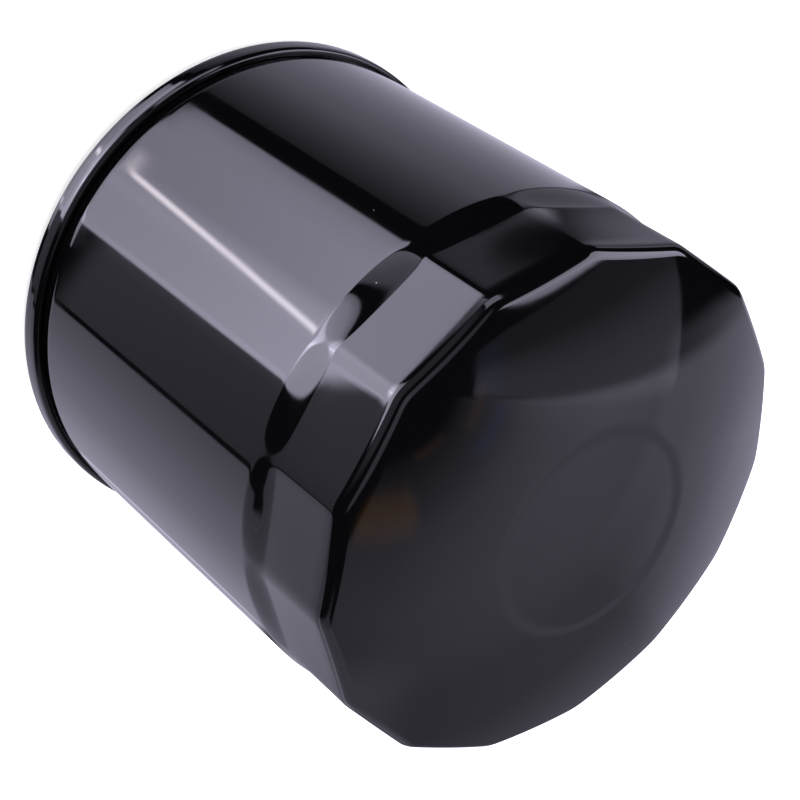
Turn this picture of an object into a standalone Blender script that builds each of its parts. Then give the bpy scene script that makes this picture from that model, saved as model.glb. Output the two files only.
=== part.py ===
"""Spin-on engine oil filter, standing on its gasket with the closed dome up. Metres, +Z up."""

import math

import bmesh
import bpy
from mathutils import Matrix

MM = 0.001
CLEARANCE = 0.3  # gap left between neighbours that touch in the real filter

# Driving sizes in mm. Z is measured from the gasket's sealing face.
CAN_RADIUS = 38.0
CAN_SHEET = 0.7
OVERALL_HEIGHT = 84.4
GASKET_PROUD = 1.5
FLUTES = 15
FLAT_INSET = 0.95  # how far the middle of a flat lies inside the can's circle
FLUTE_START = 59.3
FLUTE_FULL = 64.0
DOME_RADIUS = 99.4
CORNER_RADIUS = 2.0
PRESSED_CIRCLE_RADIUS = 14.7
PRESSED_CIRCLE_DEPTH = 0.25
SEAM_RADIUS = 38.98
SEAM_HEIGHT = 3.9
LID_SHEET = 0.6
THREAD_MINOR_RADIUS = 8.66
INLET_COUNT = 8
INLET_RADIUS = 2.7
INLET_CIRCLE = 18.0
WELD_COUNT = 6
WELD_RADIUS = 1.4
WELD_CIRCLE = 25.3
PLATE_THICKNESS = 3.0
PLEATS = 36
PAPER = 0.5
CAP_SHEET = 0.5
CAP_RADIUS = 33.0
TUBE_RADIUS = 15.6
TUBE_SHEET = 0.6
TUBE_HOLE_RADIUS = 1.7
TUBE_HOLE_ROWS = 4
TUBE_HOLES_PER_ROW = 8

# Sizes that follow from them.
SEAM_BOTTOM = GASKET_PROUD
SEAM_TOP = SEAM_BOTTOM + SEAM_HEIGHT
NECK_RADIUS = CAN_RADIUS - CLEARANCE
LID_ROOF = SEAM_TOP + LID_SHEET / 2 + 0.1
PLATE_BOTTOM = LID_ROOF + LID_SHEET / 2 + CLEARANCE
PLATE_TOP = PLATE_BOTTOM + PLATE_THICKNESS
PLATE_RADIUS = NECK_RADIUS - CAN_SHEET - 0.4
NECK_OUTER = 12.4
NECK_TOP = PLATE_TOP + 4.6
GASKET_INNER = 30.5
GASKET_OUTER = 35.0
RUBBER = 1.2
HUB_TOP = NECK_TOP + 1.4
LOWER_CAP = HUB_TOP + CLEARANCE + CAP_SHEET / 2
UPPER_CAP = 66.45
TUBE_BOTTOM = LOWER_CAP + CAP_SHEET / 2 + CLEARANCE
TUBE_TOP = UPPER_CAP - CAP_SHEET / 2 - CLEARANCE
BOND = 1.0
MEDIA_BOTTOM = TUBE_BOTTOM + BOND + CLEARANCE
MEDIA_TOP = TUBE_TOP - BOND - CLEARANCE
MEDIA_INNER = TUBE_RADIUS + 0.8
MEDIA_OUTER = CAP_RADIUS - 1.4
SEAT_RADIUS = 7.6
STEM_RADIUS = 1.9
CAGE_SHEET = 0.6
CAGE_RADIUS = 10.6
CAGE_TOP = UPPER_CAP - CAP_SHEET / 2 - CLEARANCE - CAGE_SHEET / 2
CAGE_BOTTOM = CAGE_TOP - 11.6
POPPET_RADIUS = 9.4
WASHER = 1.5
WASHER_TOP = UPPER_CAP - CAP_SHEET / 2 - CLEARANCE
POPPET_TOP = WASHER_TOP - WASHER - CLEARANCE
POPPET_THICKNESS = 1.2
SPRING_WIRE = 0.45
SPRING_MEAN = 5.2
SPRING_TURNS = 4.5
LEAF_SHEET = 0.7
LEAF_BASE = UPPER_CAP + CAP_SHEET / 2 + CLEARANCE + LEAF_SHEET / 2
LEAF_ARMS = 4
LEAF_REACH = 26.0
LEAF_WIDTH = 6.4

FINE = 48  # steps round a large turned shape
MEDIUM = 36
COARSE = 24


# ---------------------------------------------------------------- scene and materials


def clear_scene():
    for leftover in list(bpy.data.objects):
        bpy.data.objects.remove(leftover)


def new_collection(name, helper=False):
    collection = bpy.data.collections.new(name)
    collection.hide_render = helper
    bpy.context.scene.collection.children.link(collection)
    return collection


def material(name, colour, metallic, roughness):
    made = bpy.data.materials.new(name)
    made.use_nodes = True
    shader = made.node_tree.nodes["Principled BSDF"]
    shader.inputs["Base Color"].default_value = (*colour, 1.0)
    shader.inputs["Metallic"].default_value = metallic
    shader.inputs["Roughness"].default_value = roughness
    return made


def add_object(name, mesh, collection, look=None, smooth=True):
    made = bpy.data.objects.new(name, mesh)
    collection.objects.link(made)
    if look is not None:
        mesh.materials.append(look)
    for face in mesh.polygons:
        face.use_smooth = smooth
    return made


def add_cutter(name, mesh):
    made = add_object(name, mesh, CUTTERS, smooth=False)
    made.display_type = "WIRE"
    made.hide_render = True
    return made


def cut(target, cutter):
    difference = target.modifiers.new("cut", "BOOLEAN")
    difference.operation = "DIFFERENCE"
    difference.solver = "EXACT"
    difference.object = cutter


# ---------------------------------------------------------------- shape helpers


def polar(radius, angle, z):
    return (radius * math.cos(angle) * MM, radius * math.sin(angle) * MM, z * MM)


def mesh_of(name, corners, edges=(), faces=()):
    mesh = bpy.data.meshes.new(name)
    mesh.from_pydata(corners, edges, faces)
    mesh.update()
    return mesh


def screw(target, steps):
    turn = target.modifiers.new("turn", "SCREW")
    turn.axis = "Z"
    turn.angle = math.tau
    turn.steps = steps
    turn.render_steps = steps
    turn.use_merge_vertices = True
    turn.merge_threshold = 0.00001


def turned(name, profile, look, steps=FINE, on_axis=False):
    """A solid turned from (radius, z) points that run down its outer side. A ring's profile closes on itself."""
    corners = [(radius * MM, 0.0, z * MM) for radius, z in profile]
    links = [(i, i + 1) for i in range(len(corners) - 1)]
    if not on_axis:
        links.append((len(corners) - 1, 0))
    made = add_object(name, mesh_of(name, corners, links), PARTS, look)
    screw(made, steps)
    return made


def turned_sheet(name, centreline, thickness, look, steps=FINE):
    """Pressed sheet turned from the (radius, z) points of its middle, outer end first."""
    corners = [(radius * MM, 0.0, z * MM) for radius, z in centreline]
    links = [(i, i + 1) for i in range(len(corners) - 1)]
    made = add_object(name, mesh_of(name, corners, links), PARTS, look)
    screw(made, steps)
    thicken(made, thickness, 0.0)
    return made


def thicken(target, thickness, offset):
    sheet = target.modifiers.new("sheet", "SOLIDIFY")
    sheet.thickness = thickness * MM
    sheet.offset = offset
    sheet.use_even_offset = True


def ring_profile(inner, outer, bottom, top, chamfer=0.0):
    """The four or eight corners of a ring's section, down the outer side first."""
    if chamfer == 0.0:
        return [(outer, top), (outer, bottom), (inner, bottom), (inner, top)]
    return [
        (outer - chamfer, top),
        (outer, top - chamfer),
        (outer, bottom + chamfer),
        (outer - chamfer, bottom),
        (inner + chamfer, bottom),
        (inner, bottom + chamfer),
        (inner, top - chamfer),
        (inner + chamfer, top),
    ]


def ribbon(name, outline, height, sheet, closed):
    """Sheet that stands along a flat (x, y) outline, centred on its own XY plane, as a mesh."""
    curve = bpy.data.curves.new(name, "CURVE")
    curve.dimensions = "2D"
    curve.fill_mode = "NONE"
    curve.extrude = height / 2 * MM
    path = curve.splines.new("POLY")
    path.points.add(len(outline) - 1)
    path.use_cyclic_u = closed
    for point, (x, y) in zip(path.points, outline):
        point.co = (x * MM, y * MM, 0.0, 1.0)
    drawn = bpy.data.objects.new(name, curve)
    CUTTERS.objects.link(drawn)
    thicken(drawn, sheet, 0.0)
    bpy.context.view_layer.update()
    evaluated = drawn.evaluated_get(bpy.context.evaluated_depsgraph_get())
    mesh = bpy.data.meshes.new_from_object(evaluated)
    bpy.data.objects.remove(drawn)
    shape = bmesh.new()
    shape.from_mesh(mesh)
    bmesh.ops.remove_doubles(shape, verts=shape.verts, dist=0.000001)
    bmesh.ops.recalc_face_normals(shape, faces=shape.faces)
    shape.to_mesh(mesh)
    shape.free()
    return mesh


def round_pegs(name, places, radius, length, axis, sides):
    """One mesh of separate cylinders. axis(place) turns each from +Z."""
    shape = bmesh.new()
    for place in places:
        bmesh.ops.create_cone(
            shape,
            cap_ends=True,
            segments=sides,
            radius1=radius * MM,
            radius2=radius * MM,
            depth=length * MM,
            matrix=axis(place),
        )
    mesh = bpy.data.meshes.new(name)
    shape.to_mesh(mesh)
    shape.free()
    return mesh


def upright_at(place):
    radius, angle, z = place
    return Matrix.Translation(polar(radius, angle, z))


def radial_at(place):
    radius, angle, z = place
    turn = Matrix.Rotation(angle, 4, "Z") @ Matrix.Rotation(math.pi / 2, 4, "Y")
    return Matrix.Translation(polar(radius, angle, z)) @ turn


def spaced(count, radius, z, start=0.0):
    return [(radius, start + math.tau * i / count, z) for i in range(count)]


# ---------------------------------------------------------------- can


def flat_distance(z):
    """Distance from the axis to the middle of a flat at this height."""
    share = (z - FLUTE_START) / (FLUTE_FULL - FLUTE_START)
    return CAN_RADIUS - FLAT_INSET * min(max(share, 0.0), 1.0)


def wall_radius(angle, z):
    """The can's outer radius where the flats are, with a flat centred on +X."""
    pitch = math.tau / FLUTES
    off_middle = (angle + pitch / 2) % pitch - pitch / 2
    return min(CAN_RADIUS, flat_distance(z) / math.cos(off_middle))


def dome_height(radius):
    return OVERALL_HEIGHT - DOME_RADIUS + math.sqrt(DOME_RADIUS**2 - radius**2)


def corner_point(wall, share):
    """A point of the rounded corner from the wall, 0, to the dome, 1."""
    centre_radius = wall - CORNER_RADIUS
    reach = math.sqrt((DOME_RADIUS - CORNER_RADIUS) ** 2 - centre_radius**2)
    centre_z = OVERALL_HEIGHT - DOME_RADIUS + reach
    bend = share * math.atan2(reach, centre_radius)
    return (
        centre_radius + CORNER_RADIUS * math.cos(bend),
        centre_z + CORNER_RADIUS * math.sin(bend),
    )


def can_rings():
    """Each ring as a function from an angle to (radius, z), from the open mouth to the dome's middle."""
    rings = []
    for radius, z in ((NECK_RADIUS, 2.5), (NECK_RADIUS, 6.3), (CAN_RADIUS, 7.4)):
        rings.append(lambda angle, radius=radius, z=z: (radius, z))
    for share in (0.0, 0.25, 0.6, 1.0):
        z = FLUTE_START + share * (FLUTE_FULL - FLUTE_START)
        rings.append(lambda angle, z=z: (wall_radius(angle, z), z))
    for share in (0.0, 0.4, 0.7, 1.0):
        rings.append(
            lambda angle, share=share: corner_point(
                wall_radius(angle, FLUTE_FULL), share
            )
        )
    for radius in (29.0, 22.0, PRESSED_CIRCLE_RADIUS + 0.8):
        rings.append(lambda angle, radius=radius: (radius, dome_height(radius)))
    for radius in (PRESSED_CIRCLE_RADIUS, 7.0):
        rings.append(
            lambda angle, radius=radius: (
                radius,
                dome_height(radius) - PRESSED_CIRCLE_DEPTH,
            )
        )
    return rings


def can_shell():
    """Plain below, fluted near the top, domed over: a circle lofted to a rounded polygon and on to a cap."""
    around = FLUTES * 3
    pitch = math.tau / FLUTES
    angles = []
    for flute in range(FLUTES):
        for step in (0.0, 1 / 3, 2 / 3):
            angles.append((flute - 0.5 + step) * pitch)
    corners = []
    for ring in can_rings():
        for angle in angles:
            radius, z = ring(angle)
            corners.append(polar(radius, angle, z))
    faces = []
    for row in range(len(can_rings()) - 1):
        for i in range(around):
            a = row * around + i
            b = row * around + (i + 1) % around
            faces.append((a, b, b + around, a + around))
    corners.append((0.0, 0.0, (OVERALL_HEIGHT - PRESSED_CIRCLE_DEPTH) * MM))
    last = (len(can_rings()) - 1) * around
    for i in range(around):
        faces.append((last + i, last + (i + 1) % around, len(corners) - 1))
    mesh = mesh_of("can_shell", corners, faces=faces)
    made = add_object("can_shell", mesh, PARTS, BLACK_ENAMEL)
    thicken(made, CAN_SHEET, -1.0)


# ---------------------------------------------------------------- base end


def seam_lid():
    """Pressed lid: gasket channel inside, rim rolled round the can's lower edge."""
    half = LID_SHEET / 2
    outer = SEAM_RADIUS - half
    bottom = SEAM_BOTTOM + half
    channel = GASKET_OUTER + CLEARANCE + half
    bead_outer = GASKET_INNER - CLEARANCE - half
    made = turned_sheet(
        "seam_lid",
        [
            (outer - 0.35, SEAM_TOP - half),
            (outer, SEAM_TOP - half - 0.6),
            (outer, bottom + 0.7),
            (outer - 0.7, bottom),
            (channel + 0.5, bottom),
            (channel, bottom + 0.5),
            (channel, LID_ROOF),
            (bead_outer, LID_ROOF),
            (bead_outer - 0.4, LID_ROOF - 2.2),
            (bead_outer - 1.5, LID_ROOF - 2.2),
            (bead_outer - 1.9, LID_ROOF),
            (INLET_CIRCLE + INLET_RADIUS + 1.5, LID_ROOF),
        ],
        LID_SHEET,
        PLATED_STEEL,
    )
    places = spaced(WELD_COUNT, WELD_CIRCLE, LID_ROOF)
    holes = round_pegs(
        "lid_weld_holes", places, WELD_RADIUS + CLEARANCE, 2.0, upright_at, 12
    )
    cut(made, add_cutter("lid_weld_holes", holes))


def weld_nuggets():
    """The plug welds that join the lid to the base plate, one in each hole of the lid."""
    for number, place in enumerate(spaced(WELD_COUNT, WELD_CIRCLE, LID_ROOF), 1):
        name = f"weld_nugget_{number}"
        mesh = round_pegs(name, [place], WELD_RADIUS, LID_SHEET, upright_at, 12)
        add_object(name, mesh, PARTS, WELD_STEEL, smooth=False)


def base_plate():
    """Thick steel plate with the drawn neck that carries the stud thread, and a circle of inlet holes."""
    made = turned(
        "base_plate",
        [
            (NECK_OUTER - 0.4, NECK_TOP),
            (NECK_OUTER, NECK_TOP - 0.4),
            (NECK_OUTER, PLATE_TOP + 1.0),
            (NECK_OUTER + 1.2, PLATE_TOP),
            (PLATE_RADIUS, PLATE_TOP),
            (PLATE_RADIUS, PLATE_BOTTOM),
            (NECK_OUTER + 1.4, PLATE_BOTTOM),
            (THREAD_MINOR_RADIUS + 1.0, PLATE_BOTTOM - 0.4),
            (THREAD_MINOR_RADIUS, PLATE_BOTTOM + 0.6),
            (THREAD_MINOR_RADIUS, NECK_TOP),
        ],
        PLATE_STEEL,
    )
    middle = (PLATE_TOP + PLATE_BOTTOM) / 2
    holes = round_pegs(
        "inlet_holes",
        spaced(INLET_COUNT, INLET_CIRCLE, middle),
        INLET_RADIUS,
        PLATE_THICKNESS * 2,
        upright_at,
        12,
    )
    cut(made, add_cutter("inlet_holes", holes))


def sealing_gasket():
    """Rubber ring in the lid's channel. Its lower face is what the filter stands on."""
    turned(
        "sealing_gasket",
        ring_profile(
            GASKET_INNER, GASKET_OUTER, 0.0, LID_ROOF - LID_SHEET / 2 - CLEARANCE, 0.4
        ),
        BLACK_RUBBER,
    )


def drain_valve():
    """Rubber diaphragm over the inlet holes, and the thin spring ring that holds its lip down."""
    hub = NECK_OUTER + CLEARANCE + RUBBER / 2
    lip = PLATE_TOP + CLEARANCE + RUBBER / 2
    turned_sheet(
        "drain_valve_diaphragm",
        [(27.0, lip), (15.6, lip + 0.6), (hub, lip + 1.7), (hub, HUB_TOP)],
        RUBBER,
        SILICONE,
        MEDIUM,
    )
    turned_sheet(
        "drain_valve_ring",
        [(26.5, lip + 1.2), (20.0, lip + 1.55)],
        0.4,
        SPRING_STEEL,
        MEDIUM,
    )


# ---------------------------------------------------------------- filter element


def end_caps():
    turned_sheet(
        "lower_end_cap",
        [
            (CAP_RADIUS, LOWER_CAP + 3.5),
            (CAP_RADIUS, LOWER_CAP),
            (NECK_OUTER + 0.8, LOWER_CAP),
        ],
        CAP_SHEET,
        TIN_PLATE,
        MEDIUM,
    )
    turned_sheet(
        "upper_end_cap",
        [
            (SEAT_RADIUS, UPPER_CAP),
            (CAP_RADIUS, UPPER_CAP),
            (CAP_RADIUS, UPPER_CAP - 3.5),
        ],
        CAP_SHEET,
        TIN_PLATE,
        MEDIUM,
    )


def bond_rings():
    """The cured adhesive that joins the pleats to each end cap."""
    outer = CAP_RADIUS - CAP_SHEET / 2 - CLEARANCE
    levels = (("lower_bond_ring", TUBE_BOTTOM), ("upper_bond_ring", TUBE_TOP - BOND))
    for name, bottom in levels:
        profile = ring_profile(MEDIA_INNER - 0.4, outer, bottom, bottom + BOND)
        turned(name, profile, PLASTISOL, MEDIUM)


def center_tube():
    made = turned(
        "center_tube",
        ring_profile(TUBE_RADIUS - TUBE_SHEET, TUBE_RADIUS, TUBE_BOTTOM, TUBE_TOP),
        TIN_PLATE,
        MEDIUM - 4,
    )
    places = []
    row_pitch = (TUBE_TOP - TUBE_BOTTOM) / (TUBE_HOLE_ROWS + 1)
    hole_pitch = math.tau / TUBE_HOLES_PER_ROW
    for row in range(TUBE_HOLE_ROWS):
        z = TUBE_BOTTOM + row_pitch * (row + 1)
        start = hole_pitch / 2 * (row % 2)
        places += spaced(TUBE_HOLES_PER_ROW, TUBE_RADIUS, z, start)
    holes = round_pegs("tube_holes", places, TUBE_HOLE_RADIUS, 4.0, radial_at, 8)
    cut(made, add_cutter("tube_holes", holes))


def pleated_media():
    """One folded strip of filter paper, closed into a star."""
    pitch = math.tau / PLEATS
    tip = 0.35  # half width of a fold's blunt tip
    outline = []
    for pleat in range(PLEATS):
        middle = pleat * pitch
        for radius, angle in ((MEDIA_OUTER, middle), (MEDIA_INNER, middle + pitch / 2)):
            for side in (-tip, tip):
                turn = angle + side / radius
                outline.append((radius * math.cos(turn), radius * math.sin(turn)))
    mesh = ribbon("pleated_media", outline, MEDIA_TOP - MEDIA_BOTTOM, PAPER, closed=True)
    made = add_object("pleated_media", mesh, PARTS, FILTER_PAPER, smooth=False)
    made.location.z = (MEDIA_TOP + MEDIA_BOTTOM) / 2 * MM


def media_seam_clip():
    """Folded metal strip over the pleat where the two ends of the paper meet."""
    reach = 3.2
    sheet = 0.4
    inside = 1.15 + sheet / 2
    tip = MEDIA_OUTER + PAPER / 2 + CLEARANCE + sheet / 2
    outline = [(tip - reach, inside), (tip, inside), (tip, -inside), (tip - reach, -inside)]
    mesh = ribbon(
        "media_seam_clip", outline, MEDIA_TOP - MEDIA_BOTTOM - 2.0, sheet, closed=False
    )
    made = add_object("media_seam_clip", mesh, PARTS, TIN_PLATE, smooth=False)
    made.location.z = (MEDIA_TOP + MEDIA_BOTTOM) / 2 * MM


# ---------------------------------------------------------------- bypass valve


def bypass_cage():
    """Pressed cup hung under the upper end cap, with four windows in its wall."""
    flange = TUBE_RADIUS - TUBE_SHEET - 0.7
    made = turned_sheet(
        "bypass_cage",
        [
            (flange, CAGE_TOP),
            (CAGE_RADIUS, CAGE_TOP),
            (CAGE_RADIUS, CAGE_BOTTOM),
            (STEM_RADIUS + 0.8, CAGE_BOTTOM),
        ],
        CAGE_SHEET,
        TIN_PLATE,
        COARSE,
    )
    places = spaced(4, CAGE_RADIUS, (CAGE_TOP + CAGE_BOTTOM) / 2)
    windows = round_pegs("cage_windows", places, 3.6, 4.0, radial_at, 8)
    cut(made, add_cutter("cage_windows", windows))


def bypass_poppet():
    """Disc, boss and guide stem turned in one piece."""
    boss = SEAT_RADIUS - 1.8
    turned(
        "bypass_poppet",
        [
            (0.0, WASHER_TOP - 0.6),
            (boss, WASHER_TOP - 0.6),
            (boss, POPPET_TOP),
            (POPPET_RADIUS, POPPET_TOP),
            (POPPET_RADIUS, POPPET_TOP - POPPET_THICKNESS),
            (STEM_RADIUS, POPPET_TOP - POPPET_THICKNESS),
            (STEM_RADIUS, CAGE_BOTTOM - 2.0),
            (0.0, CAGE_BOTTOM - 2.0),
        ],
        PLATE_STEEL,
        COARSE,
        on_axis=True,
    )


def bypass_seat_washer():
    profile = ring_profile(
        SEAT_RADIUS - 1.8 + CLEARANCE, POPPET_RADIUS - 0.1, WASHER_TOP - WASHER, WASHER_TOP
    )
    turned("bypass_seat_washer", profile, BLACK_RUBBER, COARSE)


def stem_clip():
    top = CAGE_BOTTOM - CAGE_SHEET / 2 - CLEARANCE
    profile = ring_profile(STEM_RADIUS + CLEARANCE, 4.0, top - 0.5, top)
    turned("stem_clip", profile, SPRING_STEEL, COARSE - 8)


def bypass_spring():
    """Compression coil round the stem, between the cage's floor and the poppet."""
    low = CAGE_BOTTOM + CAGE_SHEET / 2 + CLEARANCE + SPRING_WIRE
    high = POPPET_TOP - POPPET_THICKNESS - CLEARANCE - SPRING_WIRE
    steps = int(SPRING_TURNS * 12)
    curve = bpy.data.curves.new("bypass_spring", "CURVE")
    curve.dimensions = "3D"
    curve.bevel_depth = SPRING_WIRE * MM
    curve.bevel_resolution = 1
    curve.use_fill_caps = True
    coil = curve.splines.new("POLY")
    coil.points.add(steps)
    for i, point in enumerate(coil.points):
        share = i / steps
        place = polar(SPRING_MEAN, math.tau * SPRING_TURNS * share, low + (high - low) * share)
        point.co = (*place, 1.0)
    made = bpy.data.objects.new("bypass_spring", curve)
    made.data.materials.append(SPRING_STEEL)
    PARTS.objects.link(made)


# ---------------------------------------------------------------- hold-down spring


def leaf_arm_path():
    """(radius, z) along the middle of one arm, from the ring to its turned-down tip."""
    roof = dome_height(LEAF_REACH) - CAN_SHEET - CLEARANCE - LEAF_SHEET
    rise = roof - LEAF_BASE
    path = [(10.5, LEAF_BASE), (13.5, LEAF_BASE)]
    for share in (0.25, 0.5, 0.75):
        lift = rise * (1 - math.cos(math.pi * share)) / 2
        path.append((13.5 + (LEAF_REACH - 3.0 - 13.5) * share, LEAF_BASE + lift))
    path.append((LEAF_REACH - 3.0, roof - 0.1))
    path.append((LEAF_REACH, roof - 0.3))
    path.append((LEAF_REACH + 1.6, roof - 2.0))
    return path


def hold_down_spring():
    """Flat ring on the upper end cap with arms that push up against the dome."""
    ring = turned(
        "hold_down_spring",
        ring_profile(8.3, 13.0, LEAF_BASE - LEAF_SHEET / 2, LEAF_BASE + LEAF_SHEET / 2),
        SPRING_STEEL,
        COARSE,
    )
    mesh = ribbon("leaf_arm", leaf_arm_path(), LEAF_WIDTH, LEAF_SHEET * 0.9, closed=False)
    for number in range(LEAF_ARMS):
        arm = add_cutter(f"leaf_arm_{number + 1}", mesh)
        arm.rotation_euler = (math.pi / 2, 0.0, math.tau * (number + 0.5) / LEAF_ARMS)
        joined = ring.modifiers.new("arm", "BOOLEAN")
        joined.operation = "UNION"
        joined.solver = "EXACT"
        joined.object = arm


# ---------------------------------------------------------------- moving groups


def moving_group(name, height, members, carrier=None):
    """An empty on the filter's axis that carries the pieces which slide together along it."""
    empty = bpy.data.objects.new(name, None)
    empty.location = (0.0, 0.0, height * MM)
    PARTS.objects.link(empty)
    bpy.context.view_layer.update()
    for member in members:
        piece = bpy.data.objects[member]
        piece.parent = empty
        piece.matrix_parent_inverse = empty.matrix_world.inverted()
    if carrier is not None:
        empty.parent = carrier
        empty.matrix_parent_inverse = carrier.matrix_world.inverted()
    return empty


# ---------------------------------------------------------------- build


clear_scene()
PARTS = new_collection("spin_on_oil_filter")
CUTTERS = new_collection("cutters", helper=True)

BLACK_ENAMEL = material("black_enamel", (0.012, 0.012, 0.014), 0.0, 0.12)
PLATED_STEEL = material("plated_steel", (0.02, 0.02, 0.022), 0.2, 0.2)
PLATE_STEEL = material("plate_steel", (0.45, 0.45, 0.46), 1.0, 0.35)
WELD_STEEL = material("weld_steel", (0.30, 0.28, 0.27), 1.0, 0.55)
TIN_PLATE = material("tin_plate", (0.62, 0.62, 0.60), 1.0, 0.3)
SPRING_STEEL = material("spring_steel", (0.35, 0.36, 0.38), 1.0, 0.25)
BLACK_RUBBER = material("black_rubber", (0.02, 0.02, 0.02), 0.0, 0.7)
SILICONE = material("silicone", (0.55, 0.16, 0.05), 0.0, 0.5)
PLASTISOL = material("plastisol", (0.40, 0.12, 0.08), 0.0, 0.6)
FILTER_PAPER = material("filter_paper", (0.75, 0.55, 0.28), 0.0, 0.85)

can_shell()
seam_lid()
weld_nuggets()
base_plate()
sealing_gasket()
drain_valve()
end_caps()
bond_rings()
center_tube()
pleated_media()
media_seam_clip()
bypass_cage()
bypass_poppet()
bypass_seat_washer()
stem_clip()
bypass_spring()
hold_down_spring()

element = moving_group(
    "element_slide",
    LOWER_CAP,
    [
        "lower_end_cap",
        "upper_end_cap",
        "lower_bond_ring",
        "upper_bond_ring",
        "center_tube",
        "pleated_media",
        "media_seam_clip",
        "bypass_cage",
        "bypass_spring",
    ],
)
moving_group(
    "bypass_slide",
    POPPET_TOP,
    ["bypass_poppet", "bypass_seat_washer", "stem_clip"],
    carrier=element,
)
moving_group("drain_valve_slide", PLATE_TOP, ["drain_valve_ring"])
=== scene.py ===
"""Looks for the spin-on oil filter: black enamelled can, rolled seam, base end and filter internals."""

import math

import bmesh
import bpy
from mathutils import Matrix, Vector

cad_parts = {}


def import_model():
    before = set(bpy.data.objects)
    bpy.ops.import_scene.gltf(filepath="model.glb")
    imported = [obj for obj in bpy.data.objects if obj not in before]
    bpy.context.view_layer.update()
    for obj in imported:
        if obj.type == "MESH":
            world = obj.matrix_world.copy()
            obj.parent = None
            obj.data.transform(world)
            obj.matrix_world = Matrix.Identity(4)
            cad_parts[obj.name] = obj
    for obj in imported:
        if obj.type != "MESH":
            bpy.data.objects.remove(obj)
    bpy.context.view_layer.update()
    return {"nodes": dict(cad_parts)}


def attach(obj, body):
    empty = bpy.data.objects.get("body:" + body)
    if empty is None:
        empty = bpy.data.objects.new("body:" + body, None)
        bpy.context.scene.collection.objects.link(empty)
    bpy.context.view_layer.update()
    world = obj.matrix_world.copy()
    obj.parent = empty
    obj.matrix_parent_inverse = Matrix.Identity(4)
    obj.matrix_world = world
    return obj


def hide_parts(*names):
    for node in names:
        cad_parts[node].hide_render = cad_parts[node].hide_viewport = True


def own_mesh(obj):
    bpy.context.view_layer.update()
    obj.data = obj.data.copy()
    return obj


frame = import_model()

MM = 0.001

# Driving sizes in mm, measured up from the gasket's sealing face, as in the CAD.
CAN_RADIUS = 38.0
CAN_SHEET = 0.7
HEIGHT = 84.4  # of the dome, if its pressed circle were not there
NECK_RADIUS = 37.7
FLUTES = 15
FLAT_INSET = 0.95
RIDGE_RADIUS = 6.5
RAMP_START = 59.2
RAMP_END = 64.4
RAMP_TAIL = 0.16  # share of the flat's depth that comes in slowly, after the steep ramp
FLAT_FULL = 74.0
CORNER_RADIUS = 2.2
DOME_RADIUS = 99.4
PRESSED_RADIUS = 14.7
PRESSED_STEP = 2.0  # width of the pressed circle's soft edge
PRESSED_DEPTH = 0.25
SEAM_RADIUS = 38.98
SEAM_TOP = 5.4
SEAM_BOTTOM = 1.5
LID_SHEET = 0.6
LID_ROOF = 5.8
LID_HOLE = 22.2
BEAD_DROP = 2.2
GASKET_INNER = 30.5
GASKET_OUTER = 35.0
GASKET_TOP = 5.2
GROOVE_DEPTH = 0.16  # of the fine moulded grooves in the gasket's face
PLATE_BOTTOM = 6.4
PLATE_TOP = 9.4
PLATE_RADIUS = 36.6
PLATE_EDGE = 0.3  # chamfer of the plate's rim and of its inlets
BOSS_BOTTOM = 6.0
NECK_OUTER = 12.4
NECK_TOP = 14.0
THREAD_MINOR = 8.66
THREAD_DEPTH = 0.75
THREAD_PITCH = 25.4 / 16
THREAD_FLAT = 0.1  # share of half a pitch that is flat at each crest and root
BORE_MOUTH = 1.0  # chamfer at the bore's lower end
BORE_EXIT = 0.9
NECK_EDGE = 0.4
INLETS = 8
INLET_RADIUS = 2.7
INLET_CIRCLE = 18.0
INLET_BAND = (14.2, 21.8)  # the part of the plate that the inlets lie in
WELDS = 6
WELD_CIRCLE = 25.3
WELD_TOP = 6.1
DIAPHRAGM_SHEET = 1.2
DIAPHRAGM_RADIUS = 27.0
VALVE_GAP = 0.3  # between the diaphragm and the plate
HUB_TOP = 15.4
SPRING_WIRE = 0.45  # radius of the bypass coil's wire
SPRING_MEAN = 5.2
SPRING_TURNS = 4.5
SPRING_LOW = 54.6
SPRING_HIGH = 62.6
LEAF_SHEET = 0.7
LEAF_BASE = 67.35
LEAF_TOP = 79.5
LEAF_RING = (8.3, 13.0)
LEAF_REACH = 23.0  # where an arm reaches its full height
LEAF_ARMS = 4

# How finely the pieces are meshed.
ROUND = 192  # columns round a large turned piece
SMALL_ROUND = 96
RAMP_STEPS = 30
CORNER_STEPS = 14
DOME_STEPS = 8
THREAD_STEPS = 10  # rings of corners in one pitch
INLET_SIDES = 36
WELD_SIDES = 28
WIRE_SIDES = 12
COIL_STEPS = 40  # in one turn
ARM_STEPS = 16
MERGE = 0.002  # corners this close are made one
CREASE = math.radians(40)  # edges sharper than this are shaded as edges


# ---------------------------------------------------------------- mesh helpers


def polar(radius, angle, z):
    """A place in metres from a radius and height in mm."""
    return (radius * math.cos(angle) * MM, radius * math.sin(angle) * MM, z * MM)


def piece(name, corners, faces, look, body, *stands_for):
    """A named mesh that rides on a CAD body and stands for these CAD nodes."""
    mesh = bpy.data.meshes.new(name)
    mesh.from_pydata(corners, [], faces)
    shape = bmesh.new()
    shape.from_mesh(mesh)
    bmesh.ops.remove_doubles(shape, verts=shape.verts, dist=MERGE * MM)
    bmesh.ops.recalc_face_normals(shape, faces=shape.faces)
    shape.to_mesh(mesh)
    shape.free()
    mesh.materials.append(look)
    mesh.shade_smooth()
    made = bpy.data.objects.new(name, mesh)
    bpy.context.scene.collection.objects.link(made)
    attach(made, body)
    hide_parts(*stands_for)
    return made


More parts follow.
